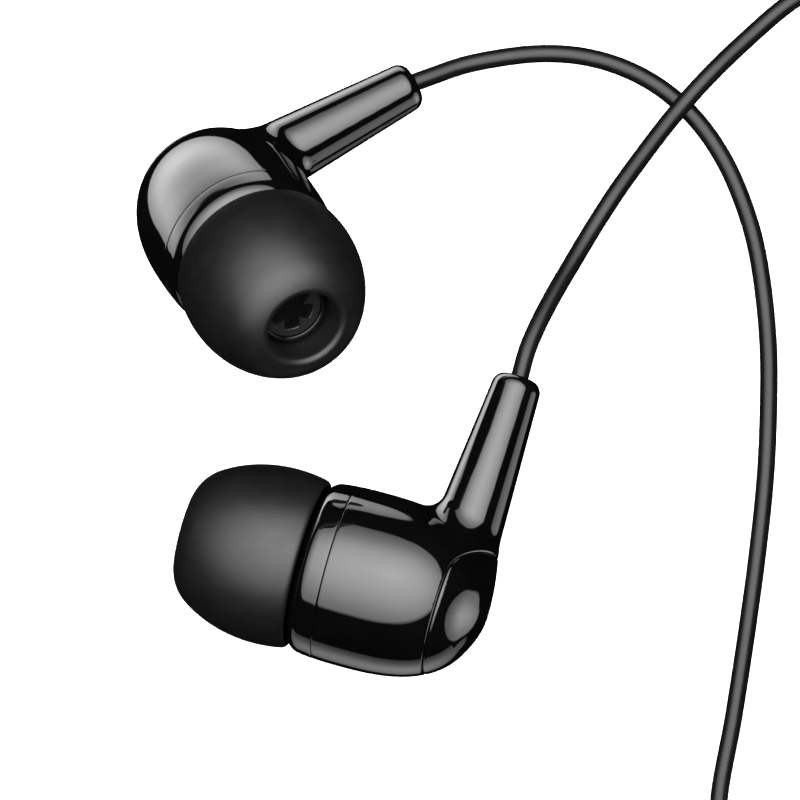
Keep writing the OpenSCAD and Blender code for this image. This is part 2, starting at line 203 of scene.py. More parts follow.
def varied(name, dark, light, roughness, grain_mm, bump_mm, stretch=(1, 1, 1), **sockets):
    """A material whose colour and roughness wander a little, with a fine grain."""
    made = material(name, light, sum(roughness) / 2, **sockets)
    cloud = noise(made, 3.0, 3.0)
    drive(made, "Base Color", ramp(made, cloud, [(0.3, dark), (0.7, light)]))
    drive(made, "Roughness", spread_value(made, noise(made, 1.1, 5.0), *roughness))
    bump(made, noise(made, grain_mm, 2.0, stretch), bump_mm)
    return made


def grey(value, blue=1.03):
    return (value, value, value * blue)


GLOSS = varied("gloss_black", grey(0.0006), grey(0.0012), (0.03, 0.05), 2.2, 0.0006)
SILICONE = varied("silicone", grey(0.0016), grey(0.0026), (0.40, 0.46), 0.09, 0.0035, Specular_IOR_Level=0.34)
JACKET = varied("cord_jacket", grey(0.002), grey(0.004), (0.24, 0.30), 0.16, 0.003, Specular_IOR_Level=0.22)
MOULDED = varied("moulded_rubber", grey(0.003), grey(0.005), (0.36, 0.44), 0.12, 0.006)
GRIP = varied("grip_plastic", grey(0.002), grey(0.004), (0.30, 0.40), 0.14, 0.008)
STRAP = varied("strap", grey(0.02), grey(0.05), (0.7, 0.85), 0.22, 0.05, (1, 1, 4))
INSULATOR = varied("insulator", grey(0.010), grey(0.016), (0.2, 0.3), 0.3, 0.001)
GRILLE = varied("grille_plastic", grey(0.003), grey(0.005), (0.34, 0.42), 0.2, 0.002, Specular_IOR_Level=0.36)
CONTACT = varied(
    "contact_plating", (0.72, 0.53, 0.22), (0.80, 0.62, 0.30), (0.12, 0.22), 0.5, 0.0008, Metallic=1.0
)
STEEL = varied("driver_steel", grey(0.42), grey(0.52), (0.25, 0.4), 0.2, 0.001, Metallic=1.0)
MAGNET = varied("magnet_plating", grey(0.5), grey(0.62), (0.15, 0.25), 0.4, 0.001, Metallic=1.0)
COPPER = varied("copper", (0.55, 0.24, 0.10), (0.68, 0.33, 0.15), (0.25, 0.35), 0.2, 0.001, Metallic=1.0)
FILM = varied("film", (0.55, 0.48, 0.32), (0.66, 0.60, 0.44), (0.2, 0.3), 0.6, 0.002)
BOARD = varied("board", (0.015, 0.12, 0.05), (0.03, 0.18, 0.08), (0.3, 0.45), 0.4, 0.003)


def woven_mesh():
    """A dark screen with a fine square weave in the earbud's Y and Z."""
    made = material("woven_mesh", grey(0.002), 0.6, Specular_IOR_Level=0.02)
    tree = made.node_tree
    place = tree.nodes.new("ShaderNodeTexCoord")
    heights = []
    for direction in ("Y", "Z"):
        wave = tree.nodes.new("ShaderNodeTexWave")
        wave.bands_direction = direction
        wave.inputs["Scale"].default_value = 1 / (2 * math.pi * 0.035 * MM)
        tree.links.new(place.outputs["Object"], wave.inputs["Vector"])
        heights.append(wave.outputs["Fac"])
    both = tree.nodes.new("ShaderNodeMath")
    both.operation = "MAXIMUM"
    for i, height in enumerate(heights):
        tree.links.new(height, both.inputs[i])
    drive(made, "Base Color", ramp(made, both.outputs[0], [(0.35, grey(0.0003)), (0.8, grey(0.002))]))
    bump(made, both.outputs[0], 0.02)
    return made


MESH = woven_mesh()

# ---------------------------------------------------------------- making pieces


def new_object(name, data, made, place=None):
    piece = bpy.data.objects.new(name, data)
    bpy.context.scene.collection.objects.link(piece)
    if place is not None:
        piece.matrix_world = place
    data.materials.append(made)
    return piece


def mesh_piece(name, points, faces, made, place=None, sharp=40):
    """A smooth-shaded piece from points in millimetres; edges over `sharp` degrees stay sharp."""
    mesh = bpy.data.meshes.new(name)
    mesh.from_pydata([tuple(float(c) * MM for c in p) for p in points], [], faces)
    mesh.polygons.foreach_set("use_smooth", [True] * len(mesh.polygons))
    mesh.set_sharp_from_angle(angle=math.radians(sharp))
    return new_object(name, mesh, made, place)


def arc(centre, radius, start, end, steps):
    """Points round an arc, from start to end in degrees."""
    turns = np.radians(np.linspace(start, end, steps + 1))
    return [(centre[0] + radius * math.cos(a), centre[1] + radius * math.sin(a)) for a in turns]


def rounded(corners, steps=6):
    """A closed outline from (x, y, radius) corners, each rounded by its radius."""
    outline = []
    for i, (x, y, radius) in enumerate(corners):
        here = np.array([x, y])
        if not radius:
            outline.append((x, y))
            continue
        before = np.array(corners[i - 1][:2]) - here
        after = np.array(corners[(i + 1) % len(corners)][:2]) - here
        before, after = before / np.linalg.norm(before), after / np.linalg.norm(after)
        half = math.acos(float(np.clip(before @ after, -1, 1))) / 2
        middle = (before + after) / np.linalg.norm(before + after)
        centre = here + middle * radius / math.sin(half)
        first = here + before * radius / math.tan(half) - centre
        last = here + after * radius / math.tan(half) - centre
        sweep = math.pi - 2 * half
        for k in range(steps + 1):
            a = sweep * k / steps
            mix = (first * math.sin(sweep - a) + last * math.sin(a)) / math.sin(sweep)
            outline.append(tuple(centre + mix))
    return outline


def revolved(outline, columns=160):
    """Points and faces of a closed (x, r) outline turned about X."""
    points, rows = [], []
    for x, r in outline:
        if r < 1e-6:
            rows.append([len(points)] * columns)
            points.append((x, 0, 0))
            continue
        rows.append(list(range(len(points), len(points) + columns)))
        for k in range(columns):
            a = 2 * math.pi * k / columns
            points.append((x, r * math.cos(a), r * math.sin(a)))
    faces = []
    for i, row in enumerate(rows):
        after = rows[(i + 1) % len(rows)]
        for k in range(columns):
            m = (k + 1) % columns
            corners = [row[k], row[m], after[m], after[k]]
            face = [c for j, c in enumerate(corners) if c != corners[j - 1]]
            if len(set(face)) > 2:
                faces.append(face)
    return points, faces


def turned(name, outline, made, place=None, columns=160):
    points, faces = revolved(outline, columns)
    # An outline that runs forward on the outside gives faces that look inward
    area = sum(a[0] * b[1] - b[0] * a[1] for a, b in zip(outline, outline[1:] + outline[:1]))
    if area < 0:
        faces = [f[::-1] for f in faces]
    return mesh_piece(name, points, faces, made, place)


def ear_place(side):
    turn = Euler([math.radians(a) for a in EAR_TURN[side]], "XYZ").to_matrix().to_4x4()
    return Matrix.Translation(Vector(EAR_AT[side]) * MM) @ turn


def along(at, heading):
    """Place of a piece whose X runs level in the direction heading, in degrees."""
    return Matrix.Translation(Vector(at) * MM) @ Matrix.Rotation(math.radians(heading), 4, "Z")


# ---------------------------------------------------------------- cords


def coil_points(at, r, pitch, diameter, first_layer, passes, start, way):
    """A cord's turns in a round coil. passes are the turns in each layer; the first winds
    inward and they alternate. start is in degrees and way is 1 for anticlockwise."""
    per_turn, step_turns = 24, 1 / 6
    height = COIL_LIFT + diameter / 2 + first_layer * pitch
    points, angle, inward = [], math.radians(start), True
    for layer, turns in enumerate(passes):
        steps = round(turns * per_turn)
        for k in range(steps + (layer == len(passes) - 1)):
            share = k / steps
            radius = r - COIL_TURNS * pitch * (share if inward else 1 - share)
            climb = min(1.0, (k / per_turn) / step_turns) if layer else 1.0
            z = height + pitch * (layer - 1 + climb * climb * (3 - 2 * climb)) if layer else height
            a = angle + way * 2 * math.pi * k / per_turn
            points.append((at[0] + radius * math.cos(a), at[1] + radius * math.sin(a), z))
        angle += way * 2 * math.pi * steps / per_turn
        inward = not inward
    return points


def smooth_route(points, spacing):
    """A centripetal Catmull-Rom curve through the points, with a point about every spacing."""
    p = np.array(points, float)
    p = np.vstack([2 * p[0] - p[1], p, 2 * p[-1] - p[-2]])
    out = []
    for a, b, c, d in zip(p[:-3], p[1:-2], p[2:-1], p[3:]):
        t = [0.0]
        for u, v in ((a, b), (b, c), (c, d)):
            t.append(t[-1] + max(np.linalg.norm(v - u), 1e-6) ** 0.5)
        count = max(2, round(np.linalg.norm(c - b) / spacing))
        for s in np.linspace(t[1], t[2], count, endpoint=False):
            ab = a + (b - a) * (s - t[0]) / (t[1] - t[0])
            bc = b + (c - b) * (s - t[1]) / (t[2] - t[1])
            cd = c + (d - c) * (s - t[2]) / (t[3] - t[2])
            low = ab + (bc - ab) * (s - t[0]) / (t[2] - t[0])
            high = bc + (cd - bc) * (s - t[1]) / (t[3] - t[1])
            out.append(low + (high - low) * (s - t[1]) / (t[2] - t[1]))
    out.append(p[-2])
    return np.array(out)


def make_cord(name, out, coil, back, diameter):
    """Returns the cord's curve piece and its length in metres."""
    route = smooth_route(out[:-1] + coil + back[1:], 0.8)
    data = bpy.data.curves.new(name, "CURVE")
    data.dimensions = "3D"
    data.bevel_depth = diameter / 2 * MM
    data.bevel_resolution = 7
    data.use_fill_caps = True
    spline = data.splines.new("POLY")
    spline.points.add(len(route) - 1)
    for point, place in zip(spline.points, route):
        point.co = (*(float(c) * MM for c in place), 1)
    piece = new_object(name, data, JACKET)
    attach(piece, ROOT)
    piece.visible_glossy = False
    return piece, float(np.linalg.norm(np.diff(route, axis=0), axis=1).sum()) * MM


branch = (BRANCH_COIL["at"], BRANCH_COIL["r"], BRANCH_COIL["pitch"], BRANCH_D)
left_turns = coil_points(*branch, 0, (3, 2.5), 180, -1)
right_turns = coil_points(*branch, 2, (3, 3), 0, -1)
main_turns = coil_points(
    MAIN_COIL["at"], MAIN_COIL["r"], MAIN_COIL["pitch"], MAIN_D, 0, (3, 3, 3, 3), 0, 1
)
left_cord, left_length = make_cord("left_branch_cord", LEFT_OUT, left_turns, LEFT_BACK, BRANCH_D)
right_cord, right_length = make_cord("right_branch_cord", RIGHT_OUT, right_turns, RIGHT_BACK, BRANCH_D)
main_cord, main_length = make_cord("plug_cord", MAIN_OUT, main_turns, MAIN_BACK, MAIN_D)
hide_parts("left_cord", "left_coil")
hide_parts("right_cord", "right_coil")
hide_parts("main_cord", "main_coil")


def make_tie(name, coil, layers, diameter, heading, node):
    """A strap round a coil's section."""
    inner_r = coil["r"] - COIL_TURNS * coil["pitch"] - diameter / 2
    outer_r = coil["r"] + diameter / 2
    top = COIL_LIFT + layers * coil["pitch"]
    inside = rounded([
        (inner_r, COIL_LIFT, 0.5), (outer_r, COIL_LIFT, 0.5), (outer_r, top, 0.5), (inner_r, top, 0.5)
    ])
    grow = COIL_LIFT - 0.02
    outside = rounded([
        (inner_r - grow, 0.02, 0.75), (outer_r + grow, 0.02, 0.75),
        (outer_r + grow, top + grow, 0.75), (inner_r - grow, top + grow, 0.75),
    ])
    half, steps, edge = math.radians(10), 12, 0.08
    points, rings = [], []
    for k in range(steps + 1):
        share = 2 * k / steps - 1
        a = math.radians(heading) + half * share
        round_off = edge if k in (0, steps) else 0
        ring = []
        for outline, sign in ((outside, -1), (inside, 1)):
            centre = np.mean(outline, axis=0)
            for q in outline:
                away = (np.array(q) - centre) / np.linalg.norm(np.array(q) - centre)
                x, z = np.array(q) + sign * round_off * away
                ring.append(len(points))
                points.append((coil["at"][0] + x * math.cos(a), coil["at"][1] + x * math.sin(a), z))
        rings.append(ring)
    count = len(outside)
    faces = []
    for low, high in zip(rings, rings[1:]):
        for start in (0, count):
            for k in range(count):
                m = (k + 1) % count
                face = [low[start + k], low[start + m], high[start + m], high[start + k]]
                faces.append(face if start else face[::-1])
    for ring, flip in ((rings[0], False), (rings[-1], True)):
        for k in range(count):
            m = (k + 1) % count
            face = [ring[k], ring[m], ring[count + m], ring[count + k]]
            faces.append(face[::-1] if flip else face)
    piece = mesh_piece(name, points, faces, STRAP)
    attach(piece, ROOT)
    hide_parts(node)
    piece.visible_glossy = False
    return piece


branch_tie = make_tie("branch_coil_tie", BRANCH_COIL, 4, BRANCH_D, 90, "branch_tie")
main_tie = make_tie("main_coil_tie", MAIN_COIL, 4, MAIN_D, 200, "main_tie")


def make_split():
    """The moulded Y-split, a barrel that narrows to the main cord, with two grip grooves."""
    r, end_r = SPLIT_R, SPLIT_R - 0.3
    corners = [(0, 0, 0), (0, r - 0.05, 0.6)]
    for x in (4.6, 6.0):
        corners += [(x, r, 0.1), (x + 0.2, r - 0.25, 0.12), (x + 0.5, r - 0.25, 0.12), (x + 0.7, r, 0.1)]
    corners += [(SPLIT_LEN * 0.6, r, 1.5), (SPLIT_LEN, end_r, 0.6), (SPLIT_LEN, 0, 0)]
    piece = turned("y_split_moulding", rounded(corners), MOULDED, along(SPLIT_AT, -90), 96)
    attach(piece, ROOT)
    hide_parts("y_split")
    piece.visible_glossy = False
    return piece


def make_plug():
    """Boot, grip, collar, and the contacts with their insulators."""
    place = along(PLUG_AT, PLUG_TURN)
    cord_r = MAIN_D / 2
    boot = [(0, 0, 0), (0, cord_r + 0.35, 0.15)]
    for k in range(1, 5):
        x, r = k * BOOT_LEN / 5, cord_r + 0.35 + 0.65 * k / 5
        boot += [
            (x - 0.25, r - 0.02, 0.08), (x - 0.2, cord_r + 0.15, 0.08),
            (x + 0.2, cord_r + 0.15, 0.08), (x + 0.25, r + 0.02, 0.08),
        ]
    boot += [(BOOT_LEN, cord_r + 1.0, 0.1), (BOOT_LEN, 0, 0)]
    grip = [(BOOT_LEN, 0, 0), (BOOT_LEN, GRIP_R, 1.0)]
    for k in range(5):
        x = BOOT_LEN + 3.4 + 1.3 * k
        grip += [
            (x, GRIP_R, 0.12), (x + 0.15, GRIP_R - 0.2, 0.1),
            (x + 0.45, GRIP_R - 0.2, 0.1), (x + 0.6, GRIP_R, 0.12),
        ]
    grip_end = BOOT_LEN + GRIP_LEN
    grip += [(grip_end, GRIP_R, 0.4), (grip_end, 0, 0)]
    pin = grip_end + COLLAR_LEN
    ring = pin + SLEEVE_LEN + INSULATOR_LEN
    tip = ring + RING_LEN + INSULATOR_LEN

    def disc(start, end, r, edge=0.06):
        return [(start, 0, 0), (start, r, edge), (end, r, edge), (end, 0, 0)]

    tip_shape = [
        (tip, 0, 0), (tip, PIN_R, 0.06), (tip + 0.5, PIN_R, 0.2), (tip + 1.4, PIN_R * 0.72, 0.35),
        (tip + 2.1, PIN_R * 0.96, 0.5), (tip + PLUG_TIP_LEN, PIN_R * 0.25, 0.3), (tip + PLUG_TIP_LEN, 0, 0),
    ]
    wanted = [
        ("plug_strain_relief", boot, MOULDED, "plug_boot", "cord_rubber"),
        ("plug_moulded_grip", grip, GRIP, "plug_grip", "grip_plastic"),
        ("plug_metal_collar", disc(grip_end, pin, 2.2, 0.15), CONTACT, "plug_collar", "contact_metal"),
        ("plug_sleeve_contact", disc(pin, pin + SLEEVE_LEN, PIN_R), CONTACT, "plug_sleeve", "contact_metal"),
        ("plug_ring_contact", disc(ring, ring + RING_LEN, PIN_R), CONTACT, "plug_ring", "contact_metal"),
        ("plug_tip_contact", tip_shape, CONTACT, "plug_tip", "contact_metal"),
        ("plug_rear_insulator", disc(ring - INSULATOR_LEN, ring, PIN_R - 0.03), INSULATOR,
         "plug_insulators", "insulator"),
        ("plug_front_insulator", disc(ring + RING_LEN, tip, PIN_R - 0.03), INSULATOR,
         "plug_insulators", "insulator"),
    ]
    pieces = []
    for name, corners, made, node, finish in wanted:
        piece = turned(name, rounded(corners), made, place, 96)
        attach(piece, ROOT)
        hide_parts(node)
        piece.visible_glossy = False
        pieces.append(piece)
    return pieces


split = make_split()
plug = make_plug()


# ---------------------------------------------------------------- housing surface

STEM_TOP = STEM_FOOT + np.array([STEM_LEAN, STEM_LEN, 0])
STEM_AXIS = (STEM_TOP - STEM_FOOT) / np.linalg.norm(STEM_TOP - STEM_FOOT)
STEM_AXIS_LEN = float(np.linalg.norm(STEM_TOP - STEM_FOOT))


def body_radius(x):
    """Radius of the barrel-shaped housing at a distance x along its axis."""
    return BODY_R * (1 - (abs(x - BODY_MIDDLE) / BODY_HALF) ** BODY_POWER) ** (1 / BODY_POWER)


def stem_place(p):
    """Distance along the stem's axis from its foot, and from that axis."""
    off = p - STEM_FOOT
    along_axis = off @ STEM_AXIS
    return along_axis, np.linalg.norm(off - along_axis[:, None] * STEM_AXIS, axis=1)


def housing(p):
    """Signed distance, roughly, to the housing and stem with the fillet between them."""
    x, radial = p[:, 0], np.hypot(p[:, 1], p[:, 2])
    run = np.abs(x - BODY_MIDDLE) / BODY_HALF
    round_part = BODY_R * ((run ** BODY_POWER + (radial / BODY_R) ** BODY_POWER) ** (1 / BODY_POWER) - 1)
    height, off_axis = stem_place(p)
    taper = (STEM_FOOT_R - STEM_END_R) / STEM_AXIS_LEN
    side = (off_axis - (STEM_FOOT_R - taper * height)) / math.hypot(1, taper)
    side = np.where(height < 0, np.hypot(height, off_axis) - STEM_FOOT_R, side)
    a, b = side + STEM_EDGE_R, height - STEM_AXIS_LEN + STEM_EDGE_R
    stem = np.minimum(np.maximum(a, b), 0) + np.hypot(np.maximum(a, 0), np.maximum(b, 0)) - STEM_EDGE_R
    near = np.hypot(np.maximum(STEM_FILLET - round_part, 0), np.maximum(STEM_FILLET - stem, 0))
    return np.maximum(STEM_FILLET, np.minimum(round_part, stem)) - near


def cap_side(p):
    """Signed distance to the back cap's seam, negative on the cap's side."""
    x, y = p[:, 0] - CAP_TOP[0], p[:, 1] - CAP_TOP[1]
    low = np.array(CAP_SEAM_LOW) - np.array(CAP_TOP)
    run = np.array([CAP_TOP_R, 0]) - low
    run = run / np.linalg.norm(run)
    below = (x - low[0]) * run[1] - (y - low[1]) * run[0]
    return np.where(y < 0, below, np.where(x < 0, y - CAP_TOP_R, np.hypot(x, y) - CAP_TOP_R))


def slope(field, p, step=2e-3):
    """Gradient of a field at points."""
    columns = []
    for axis in range(3):
        move = np.zeros(3)
        move[axis] = step
        columns.append((field(p + move) - field(p - move)) / (2 * step))
    return np.stack(columns, axis=1)


def onto(field, p, rounds=5):
    """Moves points onto the field's zero surface."""
    for _ in range(rounds):
        g = slope(field, p)
        p = p - (field(p) / np.maximum((g * g).sum(1), 1e-6))[:, None] * g
    return p


def unit(v):
    return v / np.maximum(np.linalg.norm(v, axis=1), 1e-9)[:, None]


def housing_mesh(cell):
    """The whole outer surface of the housing as quads, with every point on it."""
    low = np.array([-12.6, -8.0, -7.6])
    high = np.array([2.6, 18.6, 7.6])
    counts = np.ceil((high - low) / cell).astype(int) + 1
    values = np.empty(counts, np.float32)
    y, z = (low[a] + cell * np.arange(counts[a]) for a in (1, 2))
    for i in range(counts[0]):
        grid = np.stack(np.meshgrid([low[0] + cell * i], y, z, indexing="ij"), -1).reshape(-1, 3)
        values[i] = housing(grid).reshape(counts[1], counts[2])
    volume = openvdb.FloatGrid(float(cell * 3))
    volume.copyFromArray(np.clip(values / cell, -3, 3))
    points, quads = volume.convertToQuads(0.0)
    return onto(housing, low + cell * np.asarray(points, float)), np.asarray(quads)[:, ::-1]


def cut(points, faces, field, keep=-1):
    """Cuts a surface along field = 0 and keeps the side where field has the sign of keep.
    The cut's points lie on the housing and on field = 0."""
    bm = bmesh.new()
    verts = [bm.verts.new(p) for p in points]
    for face in faces:
        bm.faces.new([verts[i] for i in face])
    value = dict(zip(verts, field(np.asarray(points, float))))
    near = [v for v in verts if abs(value[v]) < 0.03]
    on_curve = set()

    def settle(group):
        p = np.array([tuple(v.co) for v in group])
        for _ in range(6):
            g = slope(field, p)
            n = unit(slope(housing, p))
            g = g - (g * n).sum(1)[:, None] * n
            p = p - (field(p) / np.maximum((g * g).sum(1), 1e-6))[:, None] * g
            p = onto(housing, p, 1)
        for v, q in zip(group, p):
            v.co = q
            value[v] = 0.0
            on_curve.add(v)

    if near:
        settle(near)
    fresh = []
    for edge in list(bm.edges):
        a, b = edge.verts
        if value[a] * value[b] < 0:
            share = value[a] / (value[a] - value[b])
            _, v = bmesh.utils.edge_split(edge, a, float(share))
            value[v] = 0.0
            fresh.append(v)
    if fresh:
        settle(fresh)
    for face in list(bm.faces):
        ring = list(face.verts)
        marks = [i for i, v in enumerate(ring) if v in on_curve]
        signs = {value[v] > 0 for v in ring if v not in on_curve}
        if len(signs) < 2 or len(marks) < 2:
            continue
        a, b = marks[0], marks[-1]
        if (b - a) % len(ring) not in (1, len(ring) - 1):
            bmesh.utils.face_split(face, ring[a], ring[b])
    gone = [f for f in bm.faces if any(value[v] * keep < 0 and v not in on_curve for v in f.verts)]
    bmesh.ops.delete(bm, geom=gone, context="FACES")
    loose = [v for v in bm.verts if not v.link_faces]
    bmesh.ops.delete(bm, geom=loose, context="VERTS")
    bm.verts.index_update()
    points = np.array([tuple(v.co) for v in bm.verts])
    faces = [[v.index for v in f.verts] for f in bm.faces]
    bm.free()
    return points, faces


def open_edges(faces):
    """Each open edge as (a, b), in the order its face has it."""
    once = {}
    for face in faces:
        for a, b in zip(face, face[1:] + face[:1]):
            if (b, a) in once:
                del once[(b, a)]
            else:
                once[(a, b)] = True
    return list(once)


def shell(points, faces, seams, wall=WALL):
    """Gives a cut surface its thickness. seams are (field, keep, edge radius) of its cuts;
    each open edge rolls over by that radius and runs down to the inside."""
    edges = open_edges(faces)
    rim = sorted({v for e in edges for v in e})
    p = points[rim]
    normal = unit(slope(housing, p))
    which = np.argmin([np.abs(field(p) + keep * -radius) for field, keep, radius in seams], axis=0)
    outward, radius = np.zeros_like(p), np.zeros(len(rim))
    for k, (field, keep, edge_r) in enumerate(seams):
        g = -keep * slope(field, p)
        g = unit(g - (g * normal).sum(1)[:, None] * normal)
        outward[which == k] = g[which == k]
        radius[which == k] = edge_r
    points = list(points)
    rows = [dict(zip(rim, rim))]
    for bend in (22.5, 45, 67.5, 90):
        c, s = math.cos(math.radians(bend)), math.sin(math.radians(bend))
        place = p + radius[:, None] * (s * outward - (1 - c) * normal)
        rows.append(dict(zip(rim, range(len(points), len(points) + len(rim)))))
        points.extend(place)
    outer = np.array(points[: len(points) - 4 * len(rim)])
    inner_start = len(points)
    inside = outer - wall * unit(slope(housing, outer))
    inside[rim] = p + radius[:, None] * outward - wall * normal
    points.extend(inside)
    rows.append({v: inner_start + v for v in rim})
    faces = [list(f) for f in faces] + [[inner_start + v for v in f[::-1]] for f in faces]
    for a, b in edges:
        for low, high in zip(rows, rows[1:]):
            faces.append([low[b], low[a], high[a], high[b]])
    return points, faces


FRONT_EDGE, CAP_EDGE, HOLE_EDGE = 0.08, 0.16, 0.2
FRONT_GAP, CAP_GAP = 0.006, 0.01


def front_cut(p):
    return p[:, 0] + FRONT_GAP / 2 + FRONT_EDGE


def shell_cap_cut(p):
    return -(cap_side(p) - CAP_GAP / 2 - CAP_EDGE)


def cap_cut(p):
    return cap_side(p) + CAP_GAP / 2 + CAP_EDGE


def hole_cut(p):
    """Positive inside the cord's hole in the stem's end."""
    height, off_axis = stem_place(p)
    return np.where(height > STEM_AXIS_LEN / 2, GROMMET_R + HOLE_EDGE - off_axis, -5.0)


def make_housings():
    points, quads = housing_mesh(0.16)
    quads = quads.tolist()
    body = cut(points, quads, front_cut)
    rear = cut(*cut(*body, shell_cap_cut), hole_cut)
    rear = shell(*rear, [
        (lambda p: p[:, 0] + FRONT_GAP / 2, -1, FRONT_EDGE),
        (lambda p: -(cap_side(p) - CAP_GAP / 2), -1, CAP_EDGE),
        (lambda p: hole_cut(p) - HOLE_EDGE, -1, HOLE_EDGE),
    ])
    cap = shell(*cut(*body, cap_cut), [(lambda p: cap_side(p) + CAP_GAP / 2, -1, CAP_EDGE)])
    for side in SIDES:
        for name, (where, faces), node in (
            ("rear_housing", rear, "rear_shell"), ("back_cover", cap, "back_cap")
        ):
            piece = mesh_piece(f"{side}_{name}", where, faces, GLOSS, ear_place(side), 60)
            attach(piece, ROOT)
            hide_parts(f"{side}_{node}")
            GLOSSY.append(piece)


GLOSSY = []
make_housings()

# ---------------------------------------------------------------- turned earbud pieces


def tip_outline():
    """The ear tip's section: an ellipse behind, the rounded nose, the bore and the sleeve."""
    def dome(x, grow):
        return (TIP_R - grow) * math.sqrt(1 - ((x - TIP_WIDE) / (TIP_HALF - grow)) ** 2)

    outer = [(x, dome(x, 0)) for x in np.linspace(TIP_REAR + 0.12, TIP_DOME_END, 44)]
    mouth_y = TIP_BORE_R + MOUTH_ROUND - NOSE_CENTRE[1]
    mouth_x = math.sqrt((NOSE_R - MOUTH_ROUND) ** 2 - mouth_y ** 2)
    turn = math.degrees(math.atan2(mouth_y, mouth_x))
    mouth_centre = (NOSE_CENTRE[0] + mouth_x, NOSE_CENTRE[1] + mouth_y)
    nose = arc(NOSE_CENTRE, NOSE_R, 55.5, turn + 1, 20)
    rim = nose + arc(mouth_centre, MOUTH_ROUND, turn, -90, 12)
    inner = [(x, dome(x, TIP_WALL)) for x in np.linspace(9.6, TIP_REAR + 0.12, 36)]
    edge_r = TIP_WALL / 2
    edge = arc((TIP_REAR + 0.12, dome(TIP_REAR, 0) - edge_r), edge_r, 270, 90, 10)[1:-1]
    sleeve = rounded([
        (10.3, TIP_BORE_R, 0.1), (SLEEVE_REAR, TIP_BORE_R, 0.2), (SLEEVE_REAR, SLEEVE_R, 0.2),
        (9.3, SLEEVE_R, 0.3), (9.9, dome(9.9, TIP_WALL) - 0.4, 0.3),
    ], 4)[5:-5]
    return outer + rim + sleeve + inner + edge


def front_shell_outline():
    shoulder, front, front_wall = 1.15, 2.1, 1.1
    spigot_r, spigot_len, start = 5.2, 1.2, FRONT_GAP / 2
    seat_r, seat_x = 2.2, NOZZLE_END - 0.6
    corners = [
        (start, body_radius(0), FRONT_EDGE), *[(x, body_radius(x), 0) for x in (0.3, 0.6, 0.9)],
        (front, body_radius(0.9) - 0.14, shoulder), (front, 2.75, 0.5),
        (front + 0.75, NECK_R, 0.4), (7.7, NECK_R, 0.1), (8.0, LIP_R, 0.15), (8.6, LIP_R, 0.2),
        (NOZZLE_END, LIP_R - 0.12, 0.12), (NOZZLE_END, seat_r, 0.06), (seat_x, seat_r, 0),
        (seat_x, SOUND_R, 0), (front_wall, SOUND_R, 0.2), (front_wall, spigot_r, 0.3),
        (-spigot_len, spigot_r, 0.1), (-spigot_len, BODY_R - WALL, 0.1),
        (start, BODY_R - WALL, 0.1),
    ]
    return rounded(corners, 9)


def make_grille(side):
    """A ring with wedge teeth that point to its middle, as wide as the nozzle's seat."""
    teeth, columns = 5, 300
    outer, root, reach = 2.2, 1.62, 0.85
    back, front, edge = NOZZLE_END - 0.6, NOZZLE_END - 0.2, 0.05

    def inner(a):
        away = abs((a * teeth / (2 * math.pi) + 0.5) % 1 - 0.5) * 2
        return root - (root - reach) * max(0.0, 1 - away * 2.1)

    points, rows = [], []
    profile = [
        (back, 1, 0), (front - edge, 1, 0), (front, 1, -edge),
        (front, 0, edge), (front - edge, 0, 0), (back, 0, 0),
    ]
    for x, is_outer, grow in profile:
        rows.append(range(len(points), len(points) + columns))
        for k in range(columns):
            a = 2 * math.pi * k / columns
            r = (outer if is_outer else inner(a)) + grow
            points.append((x, r * math.cos(a), r * math.sin(a)))
    faces = []
    for i, row in enumerate(rows):
        after = rows[(i + 1) % len(rows)]
        for k in range(columns):
            m = (k + 1) % columns
            faces.append([row[k], row[m], after[m], after[k]][::-1])
    return mesh_piece(f"{side}_nozzle_star", points, faces, GRILLE, ear_place(side), 30)


def grommet_outline():
    high = STEM_AXIS_LEN - GROMMET_DROP
    low, bore, edge = high - GROMMET_LEN, BRANCH_D / 2 + 0.02, 0.12
    return rounded([(low, GROMMET_R, 0), (high, GROMMET_R, edge), (high, bore, edge), (low, bore, 0)])


def make_turned():
    on_stem = Matrix.Translation(Vector(STEM_FOOT) * MM) @ Matrix.Rotation(
        math.atan2(STEM_LEN, STEM_LEAN), 4, "Z"
    )
    for side in SIDES:
        place = ear_place(side)
        tip = turned(f"{side}_silicone_tip", tip_outline(), SILICONE, place, 200)
        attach(tip, f"{side}_tip")
        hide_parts(f"{side}_ear_tip")
        front = turned(f"{side}_front_housing", front_shell_outline(), GLOSS, place, 200)
        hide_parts(f"{side}_front_shell")
        GLOSSY.append(front)
        star = make_grille(side)
        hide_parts(f"{side}_nozzle_grille")
        grommet = turned(f"{side}_cord_grommet", grommet_outline(), MOULDED, place @ on_stem, 64)
        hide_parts(f"{side}_stem_grommet")
        for piece in (front, star, grommet):
            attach(piece, ROOT)


make_turned()

# ---------------------------------------------------------------- inner parts keep their CAD shape

INNER = {
    "acoustic_mesh": MESH, "driver_gasket": SILICONE, "diaphragm": FILM, "voice_coil": COPPER,
    "driver_frame": STEEL, "pole_plate": STEEL, "magnet": MAGNET, "magnet_cup": STEEL,
    "terminal_board": BOARD, "lead_wires": COPPER, "cord_knot": JACKET, "inner_cord": JACKET,
}
for side in SIDES:
    for part, made in INNER.items():
        data = nodes[f"{side}_{part}"].data
        data.materials.clear()
        data.materials.append(made)

# ---------------------------------------------------------------- floor, lights and world

FLOOR_Z = -0.00002
OVERHEAD_HEIGHT = 0.4
SIDE_DISTANCE = 0.5
# How light falls off from a panel's middle, as (share of the way in, strength)
SOFT_EDGE = [(0.0, 0.0), (0.07, 1.0)]
FALL_OFF = [(0.0, 0.16), (0.35, 0.28), (0.5, 0.36), (0.625, 0.5), (0.79, 0.75), (1.0, 1.0)]


